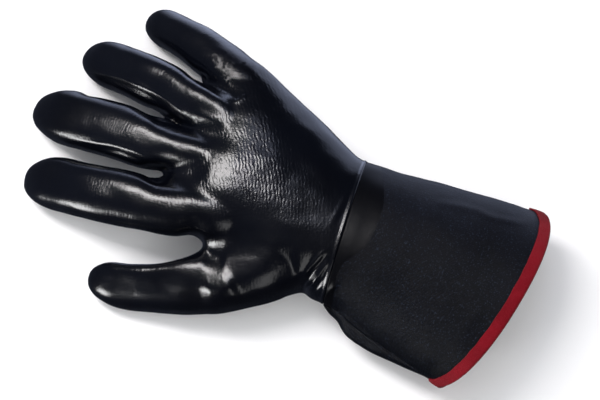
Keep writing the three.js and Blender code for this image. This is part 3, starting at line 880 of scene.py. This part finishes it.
# ------------------------------------------------------------------ hem tape
def make_tape():
    around = 420
    t = np.array([5.0, 6.0])
    turn = even_turns(t, 220, 200)
    outer = cuff_outline(t, turn, 0)
    # under the floor clamp the straight stretch keeps its column
    inner = cuff_outline(t, turn, CUFF_WALL)
    edge_out, up_out, edge_in = outer[1], outer[0], inner[1]
    along = unit(up_out - edge_out)
    out = unit(edge_out - edge_in)
    out = unit(out - (out * along).sum(1)[:, None] * along)
    mid = (edge_out + edge_in) / 2
    half_wall = CUFF_WALL / 2 + TAPE_GAP
    run = np.concatenate([[0], np.cumsum(np.linalg.norm(np.diff(mid, axis=0), axis=1))])
    ring = np.stack([np.cos(2 * np.pi * run / run[-1]), np.sin(2 * np.pi * run / run[-1]), 0 * run], 1) * run[-1] / (2 * np.pi)
    wavy = 0.35 * noise(ring / 9.0, 21) + 0.15 * noise(ring / 3.5, 22)
    # the section: up the outside, over the edge, up the inside and back
    profile = []
    far = half_wall + TAPE
    bend = 1.6
    profile.append((half_wall, TAPE_WIDTH, 1))
    profile.append((half_wall + 0.5 * TAPE, TAPE_WIDTH + 0.12, 1))
    profile.append((far - 0.12, TAPE_WIDTH - 0.02, 1))
    for a in np.linspace(TAPE_WIDTH - 0.35, 1.2, 9):
        swell = 0.16 * np.sin(np.pi * (a - 1.2) / (TAPE_WIDTH - 1.5))
        profile.append((far + swell, a, 1))
    for a in np.linspace(10, 170, 11):
        r = np.radians(a)
        profile.append((far * np.cos(r), 0.9 - bend * np.sin(r) ** 0.9, 0))
    for a in np.linspace(1.2, TAPE_WIDTH - 0.35, 7):
        profile.append((-far, a, -1))
    profile.append((-far + 0.12, TAPE_WIDTH - 0.02, -1))
    profile.append((-half_wall, TAPE_WIDTH, -1))
    for a in np.linspace(TAPE_WIDTH - 1, 0.6, 5):
        profile.append((-half_wall, a, -1))
    profile.append((-half_wall + 0.3, -0.12, 0))
    profile.append((half_wall - 0.3, -0.12, 0))
    for a in np.linspace(0.6, TAPE_WIDTH - 1, 5):
        profile.append((half_wall, a, 1))
    m = len(profile)
    ridge = np.array([1.0 if abs(o) > half_wall + 0.3 else 0.0 for o, _, _ in profile])
    o_, a_ = np.array([p[0] for p in profile]), np.array([p[1] for p in profile])
    pucker = 0.14 * noise(ring / 4.2, 23)[:, None] * ridge[None]
    shift = wavy[:, None] * ease(2.5, TAPE_WIDTH, a_)[None]
    V = (
        mid[:, None]
        + out[:, None] * (o_[None] + np.sign(o_)[None] * pucker)[..., None]
        + along[:, None] * (a_[None] + shift)[..., None]
    ).reshape(-1, 3)
    V[:, 2] = np.maximum(V[:, 2], 0.0)
    Q = grid_faces(around, m)
    last = np.stack([(around - 1) * m + np.arange(m), (around - 1) * m + (np.arange(m) + 1) % m, (np.arange(m) + 1) % m, np.arange(m)], 1)
    Q = np.concatenate([Q, last])
    a, b, c, d = (V[Q[:, i]] for i in range(4))
    volume = (np.cross(b - a, c - a) * a).sum() + (np.cross(c - a, d - a) * a).sum()
    if volume < 0:
        Q = Q[:, ::-1]
    o = build_mesh("glove_hem_tape", V, [Q])
    attribute(o, "along", np.repeat(run, m))
    width = np.concatenate([[0], np.cumsum(np.hypot(np.diff(o_), np.diff(a_)))])
    attribute(o, "around", np.tile(width, around))
    return o


# ------------------------------------------------------------------ materials
class Nodes:
    """A little help to write node trees."""

    def __init__(self, name):
        self.material = bpy.data.materials.new(name)
        self.material.use_nodes = True
        self.tree = self.material.node_tree
        self.tree.nodes.clear()

    def put(self, socket, value):
        if isinstance(value, bpy.types.NodeSocket):
            self.tree.links.new(value, socket)
        else:
            socket.default_value = value

    def math(self, operation, a, b=0.0, c=None):
        node = self.tree.nodes.new("ShaderNodeMath")
        node.operation = operation
        self.put(node.inputs[0], a)
        self.put(node.inputs[1], b)
        if c is not None:
            self.put(node.inputs[2], c)
        return node.outputs[0]

    def attr(self, name):
        node = self.tree.nodes.new("ShaderNodeAttribute")
        node.attribute_name = name
        return node.outputs["Fac"]

    def vector(self, x, y, z):
        node = self.tree.nodes.new("ShaderNodeCombineXYZ")
        for s, v in zip(node.inputs, (x, y, z)):
            self.put(s, v)
        return node.outputs[0]

    def noise(self, where, scale, detail=2.0, rough=0.5):
        node = self.tree.nodes.new("ShaderNodeTexNoise")
        self.put(node.inputs["Vector"], where)
        node.inputs["Scale"].default_value = scale
        node.inputs["Detail"].default_value = detail
        node.inputs["Roughness"].default_value = rough
        return node.outputs[0]

    def ramp(self, value, lo, hi, a, b):
        node = self.tree.nodes.new("ShaderNodeMapRange")
        node.interpolation_type = "SMOOTHSTEP"
        for s, v in zip(node.inputs[:5], (value, lo, hi, a, b)):
            self.put(s, v)
        return node.outputs[0]

    def mix(self, f, a, b):
        node = self.tree.nodes.new("ShaderNodeMix")
        node.data_type = "RGBA"
        self.put(node.inputs[0], f)
        self.put(node.inputs[6], a)
        self.put(node.inputs[7], b)
        return node.outputs[2]

    def bump(self, height, strength, size, normal=None):
        node = self.tree.nodes.new("ShaderNodeBump")
        node.inputs["Strength"].default_value = strength
        node.inputs["Distance"].default_value = size
        self.put(node.inputs["Height"], height)
        if normal is not None:
            self.put(node.inputs["Normal"], normal)
        return node.outputs[0]

    def finish(self, colour, roughness, normal, **sockets):
        shader = self.tree.nodes.new("ShaderNodeBsdfPrincipled")
        out = self.tree.nodes.new("ShaderNodeOutputMaterial")
        self.put(shader.inputs["Base Color"], colour)
        self.put(shader.inputs["Roughness"], roughness)
        if normal is not None:
            self.put(shader.inputs["Normal"], normal)
        for key, value in sockets.items():
            shader.inputs[key.replace("_", " ")].default_value = value
        self.tree.links.new(shader.outputs[0], out.inputs[0])
        return self.material


def object_space(n):
    node = n.tree.nodes.new("ShaderNodeTexCoord")
    return node.outputs["Object"]


def knit_height(n, along, around, place):
    """Short wavy ribs that the knitted base prints through the coat."""
    wander = n.noise(place, 260.0, 2.0)
    slowly = n.noise(place, 60.0, 1.0)
    phase = n.math("ADD", n.math("MULTIPLY", along, 6.2832 / 2.0), n.math("MULTIPLY", n.math("SUBTRACT", wander, 0.5), 10.0))
    phase = n.math("ADD", phase, n.math("MULTIPLY", n.math("SUBTRACT", slowly, 0.5), 8.0))
    rib = n.math("SINE", phase)
    broken = n.ramp(n.noise(place, 340.0, 1.0), 0.36, 0.62, 0.15, 1.0)
    return n.math("MULTIPLY", rib, broken)


def nitrile_material():
    n = Nodes("nitrile_coat")
    place = object_space(n)
    along, around, knit, inside = (n.attr(k) for k in ("along", "around", "knit", "inside"))
    rib = knit_height(n, along, around, place)
    on_finger = n.attr("on_finger")
    depth = n.math("MULTIPLY", n.ramp(knit, 0.0, 1.0, 0.08, 0.42), n.ramp(on_finger, 0.0, 1.0, 1.0, 0.5))
    # the coat's own pits and dimples
    peel = n.noise(place, 900.0, 2.0, 0.6)
    dimple = n.noise(place, 330.0, 2.0, 0.5)
    height = n.math("ADD", n.math("MULTIPLY", rib, depth), n.math("MULTIPLY", peel, 0.8))
    height = n.math("ADD", height, n.math("MULTIPLY", dimple, 0.7))
    normal = n.bump(height, 1.0, 0.00009)
    blotch = n.noise(place, 28.0, 3.0)
    rough = n.ramp(blotch, 0.3, 0.75, 0.175, 0.245)
    rough = n.math("ADD", rough, n.math("MULTIPLY", inside, 0.45))
    colour = n.mix(n.ramp(n.noise(place, 16.0, 2.0), 0.3, 0.7, 0.0, 1.0), (0.0010, 0.0012, 0.0023, 1), (0.0015, 0.0020, 0.0040, 1))
    colour = n.mix(inside, colour, (0.16, 0.15, 0.13, 1))
    return n.finish(colour, rough, normal, IOR=1.5)


def canvas_material():
    n = Nodes("coated_canvas")
    place = object_space(n)
    along, around, dip, inside = (n.attr(k) for k in ("along", "around", "dip", "inside"))
    # a twill: threads 0.62 mm apart, with its diagonal
    a, b = n.math("MULTIPLY", along, 6.2832 / 0.95), n.math("MULTIPLY", around, 6.2832 / 0.95)
    twill = n.math("SINE", n.math("ADD", a, b))
    cross = n.math("SINE", n.math("SUBTRACT", n.math("MULTIPLY", a, 2.0), n.math("MULTIPLY", b, 2.0)))
    weave = n.math("ADD", n.math("MULTIPLY", twill, 0.6), n.math("MULTIPLY", cross, 0.25))
    grain = n.noise(place, 900.0, 2.0, 0.6)
    broad = n.noise(place, 200.0, 2.0)
    weave = n.math("ADD", weave, n.math("MULTIPLY", grain, 1.6))
    weave = n.math("ADD", n.math("MULTIPLY", weave, n.ramp(dip, 0.2, 0.8, 1.0, 0.15)), n.math("MULTIPLY", broad, 0.8))
    normal = n.bump(weave, 1.0, 0.00005)
    blotch = n.noise(place, 22.0, 3.0)
    canvas_rough = n.ramp(blotch, 0.3, 0.7, 0.40, 0.48)
    dip_rough = n.ramp(blotch, 0.3, 0.7, 0.33, 0.40)
    f = n.ramp(dip, 0.3, 0.7, 0.0, 1.0)
    rough = n.math("ADD", n.math("MULTIPLY", canvas_rough, n.math("SUBTRACT", 1.0, f)), n.math("MULTIPLY", dip_rough, f))
    rough = n.math("ADD", rough, n.math("MULTIPLY", inside, 0.35))
    # the lighter blue flecks mixed into the colour are painted glints, standing in for the weave's small facets
    # catching the light
    painted_glint_flecks = n.ramp(n.noise(place, 1100.0, 1.0, 0.5), 0.58, 0.74, 0.0, 1.0)
    canvas = n.mix(n.ramp(n.noise(place, 14.0, 2.0), 0.3, 0.7, 0.0, 1.0), (0.0012, 0.0014, 0.0024, 1), (0.0019, 0.0023, 0.0042, 1))
    canvas = n.mix(n.math("MULTIPLY", painted_glint_flecks, 0.75), canvas, (0.013, 0.018, 0.030, 1))
    colour = n.mix(f, canvas, (0.0013, 0.0014, 0.0021, 1))
    colour = n.mix(inside, colour, (0.20, 0.19, 0.165, 1))
    return n.finish(colour, rough, normal, IOR=1.5, Specular_IOR_Level=0.10)


def tape_material():
    n = Nodes("hem_tape")
    place = object_space(n)
    along, around = n.attr("along"), n.attr("around")
    rib = n.math("SINE", n.math("MULTIPLY", along, 6.2832 / 0.62))
    thread = n.math("SINE", n.math("MULTIPLY", around, 6.2832 / 0.45))
    weave = n.math("ADD", n.math("MULTIPLY", n.math("ABSOLUTE", rib), 1.0), n.math("MULTIPLY", thread, 0.3))
    fuzz = n.noise(place, 1400.0, 2.0, 0.6)
    height = n.math("ADD", weave, n.math("MULTIPLY", fuzz, 0.8))
    normal = n.bump(height, 1.0, 0.00012)
    shade = n.ramp(n.noise(place, 60.0, 3.0), 0.3, 0.7, 0.0, 1.0)
    colour = n.mix(shade, (0.135, 0.0024, 0.0065, 1), (0.185, 0.0036, 0.0095, 1))
    colour = n.mix(n.math("MULTIPLY", n.ramp(fuzz, 0.4, 0.7, 0.0, 1.0), 0.35), colour, (0.20, 0.011, 0.02, 1))
    return n.finish(colour, 0.78, normal, Specular_IOR_Level=0.08, Sheen_Weight=0.02, Sheen_Roughness=0.5)


def floor_material():
    n = Nodes("pale_floor")
    place = object_space(n)
    shade = n.ramp(n.noise(place, 3.0, 2.0), 0.2, 0.8, 0.0, 1.0)
    colour = n.mix(shade, (0.86, 0.86, 0.86, 1), (0.88, 0.88, 0.88, 1))
    return n.finish(colour, 0.9, None)


# ------------------------------------------------------------------ the pieces
hand = make_hand()
cuff = make_cuff()
tape = make_tape()
hand.data.materials.append(nitrile_material())
cuff.data.materials.append(canvas_material())
tape.data.materials.append(tape_material())
for piece, node, slot in ((hand, "hand", "nitrile_coating"), (cuff, "cuff", "coated_canvas"), (tape, "hem_binding", "edge_tape")):
    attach(piece, "root")
    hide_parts(node)

# ------------------------------------------------------------------ floor and light
floor_mesh = bpy.data.meshes.new("floor")
floor_mesh.from_pydata([(-3, -3, -0.0002), (3, -3, -0.0002), (3, 3, -0.0002), (-3, 3, -0.0002)], [], [(0, 1, 2, 3)])
floor = bpy.data.objects.new("floor", floor_mesh)
bpy.context.scene.collection.objects.link(floor)
floor_mesh.materials.append(floor_material())
floor.visible_glossy = False


def softbox(name, toward, distance, width, height, radiance, spin=0.0, tint=(1, 1, 1)):
    """A rectangular light at a direction from the glove, facing it. width lies level."""
    toward = unit(np.array(toward, float))
    place = toward * distance
    data = bpy.data.lights.new(name, "AREA")
    data.shape = "RECTANGLE"
    data.size, data.size_y = width, height
    data.energy = radiance * width * height * np.pi
    data.color = tint
    o = bpy.data.objects.new(name, data)
    z = toward
    x = unit(np.cross([0, 0, 1.0], z)) if abs(z[2]) < 0.999 else np.array([1.0, 0, 0])
    y = np.cross(z, x)
    c, s = np.cos(np.radians(spin)), np.sin(np.radians(spin))
    x, y = c * x + s * y, -s * x + c * y
    w = Matrix.Identity(4)
    for i in range(3):
        w[i][0], w[i][1], w[i][2], w[i][3] = x[i], y[i], z[i], place[i] + (0.03 if i == 2 else 0)
    o.matrix_world = w
    o.visible_camera = False
    bpy.context.scene.collection.objects.link(o)
    return o


def heading(azimuth, elevation):
    a, e = np.radians(azimuth), np.radians(elevation)
    return np.cos(e) * np.cos(a), np.cos(e) * np.sin(a), np.sin(e)


softbox("key", heading(77.0, 61.0), 1.6, 0.36, 0.90, 18.0, spin=13, tint=(1.0, 0.97, 0.97))
softbox("tips", heading(142, 6.5), 1.3, 0.50, 0.44, 16.5)
softbox("panel", heading(208, 35), 1.6, 0.5, 1.3, 1.6)
# a soft fill that the glossy coat doesn't mirror
fill = softbox("fill", heading(20, 88), 2.4, 4.0, 4.0, 1.5)
fill.visible_glossy = False

world = bpy.data.worlds.new("studio")
bpy.context.scene.world = world
world.use_nodes = True
wt = world.node_tree
wt.nodes.clear()
coord = wt.nodes.new("ShaderNodeTexCoord")
split = wt.nodes.new("ShaderNodeSeparateXYZ")
back = wt.nodes.new("ShaderNodeBackground")
out = wt.nodes.new("ShaderNodeOutputWorld")
wt.links.new(coord.outputs["Generated"], split.inputs[0])


def world_math(operation, a, b):
    node = wt.nodes.new("ShaderNodeMath")
    node.operation = operation
    for socket, value in zip(node.inputs, (a, b)):
        if isinstance(value, bpy.types.NodeSocket):
            wt.links.new(value, socket)
        else:
            socket.default_value = value
    return node.outputs[0]


def world_ramp(value, lo, hi, a, b):
    node = wt.nodes.new("ShaderNodeMapRange")
    node.interpolation_type = "SMOOTHSTEP"
    wt.links.new(value, node.inputs[0])
    for socket, v in zip(node.inputs[1:5], (lo, hi, a, b)):
        socket.default_value = v
    return node.outputs[0]


outward = world_math("ADD", world_math("MULTIPLY", split.outputs[0], 0.98), world_math("MULTIPLY", split.outputs[1], -0.2))
glow = world_math("MULTIPLY", world_ramp(outward, 0.45, 0.9, 0.0, 1.35), world_ramp(split.outputs[2], 0.12, 0.28, 1.0, 0.0))
dim = world_ramp(split.outputs[1], 0.05, 0.6, 0.035, 0.10)
# more of it towards the fingertips, and a wide dim patch overhead
glow = world_math("MULTIPLY", glow, world_ramp(split.outputs[1], 0.0, 0.22, 1.0, 2.1))
overhead = world_math("ADD", world_math("MULTIPLY", split.outputs[0], 0.22), world_math("MULTIPLY", split.outputs[1], 0.20))
overhead = world_math("ADD", overhead, world_math("MULTIPLY", split.outputs[2], 0.955))
band = world_math("MULTIPLY", world_ramp(split.outputs[1], 0.06, 0.16, 0.0, 1.0), world_ramp(split.outputs[1], 0.22, 0.36, 1.0, 0.2))
dim = world_math("ADD", dim, world_math("MULTIPLY", world_ramp(overhead, 0.94, 0.99, 0.0, 1.7), band))
wt.links.new(world_math("ADD", glow, dim), back.inputs["Strength"])
back.inputs["Color"].default_value = (0.64, 0.72, 1.0, 1)
wt.links.new(back.outputs[0], out.inputs[0])

bpy.context.scene.view_settings.view_transform = "Standard"
bpy.context.scene.view_settings.look = "None"
bpy.context.scene.view_settings.exposure = 0.0

bpy.context.view_layer.update()
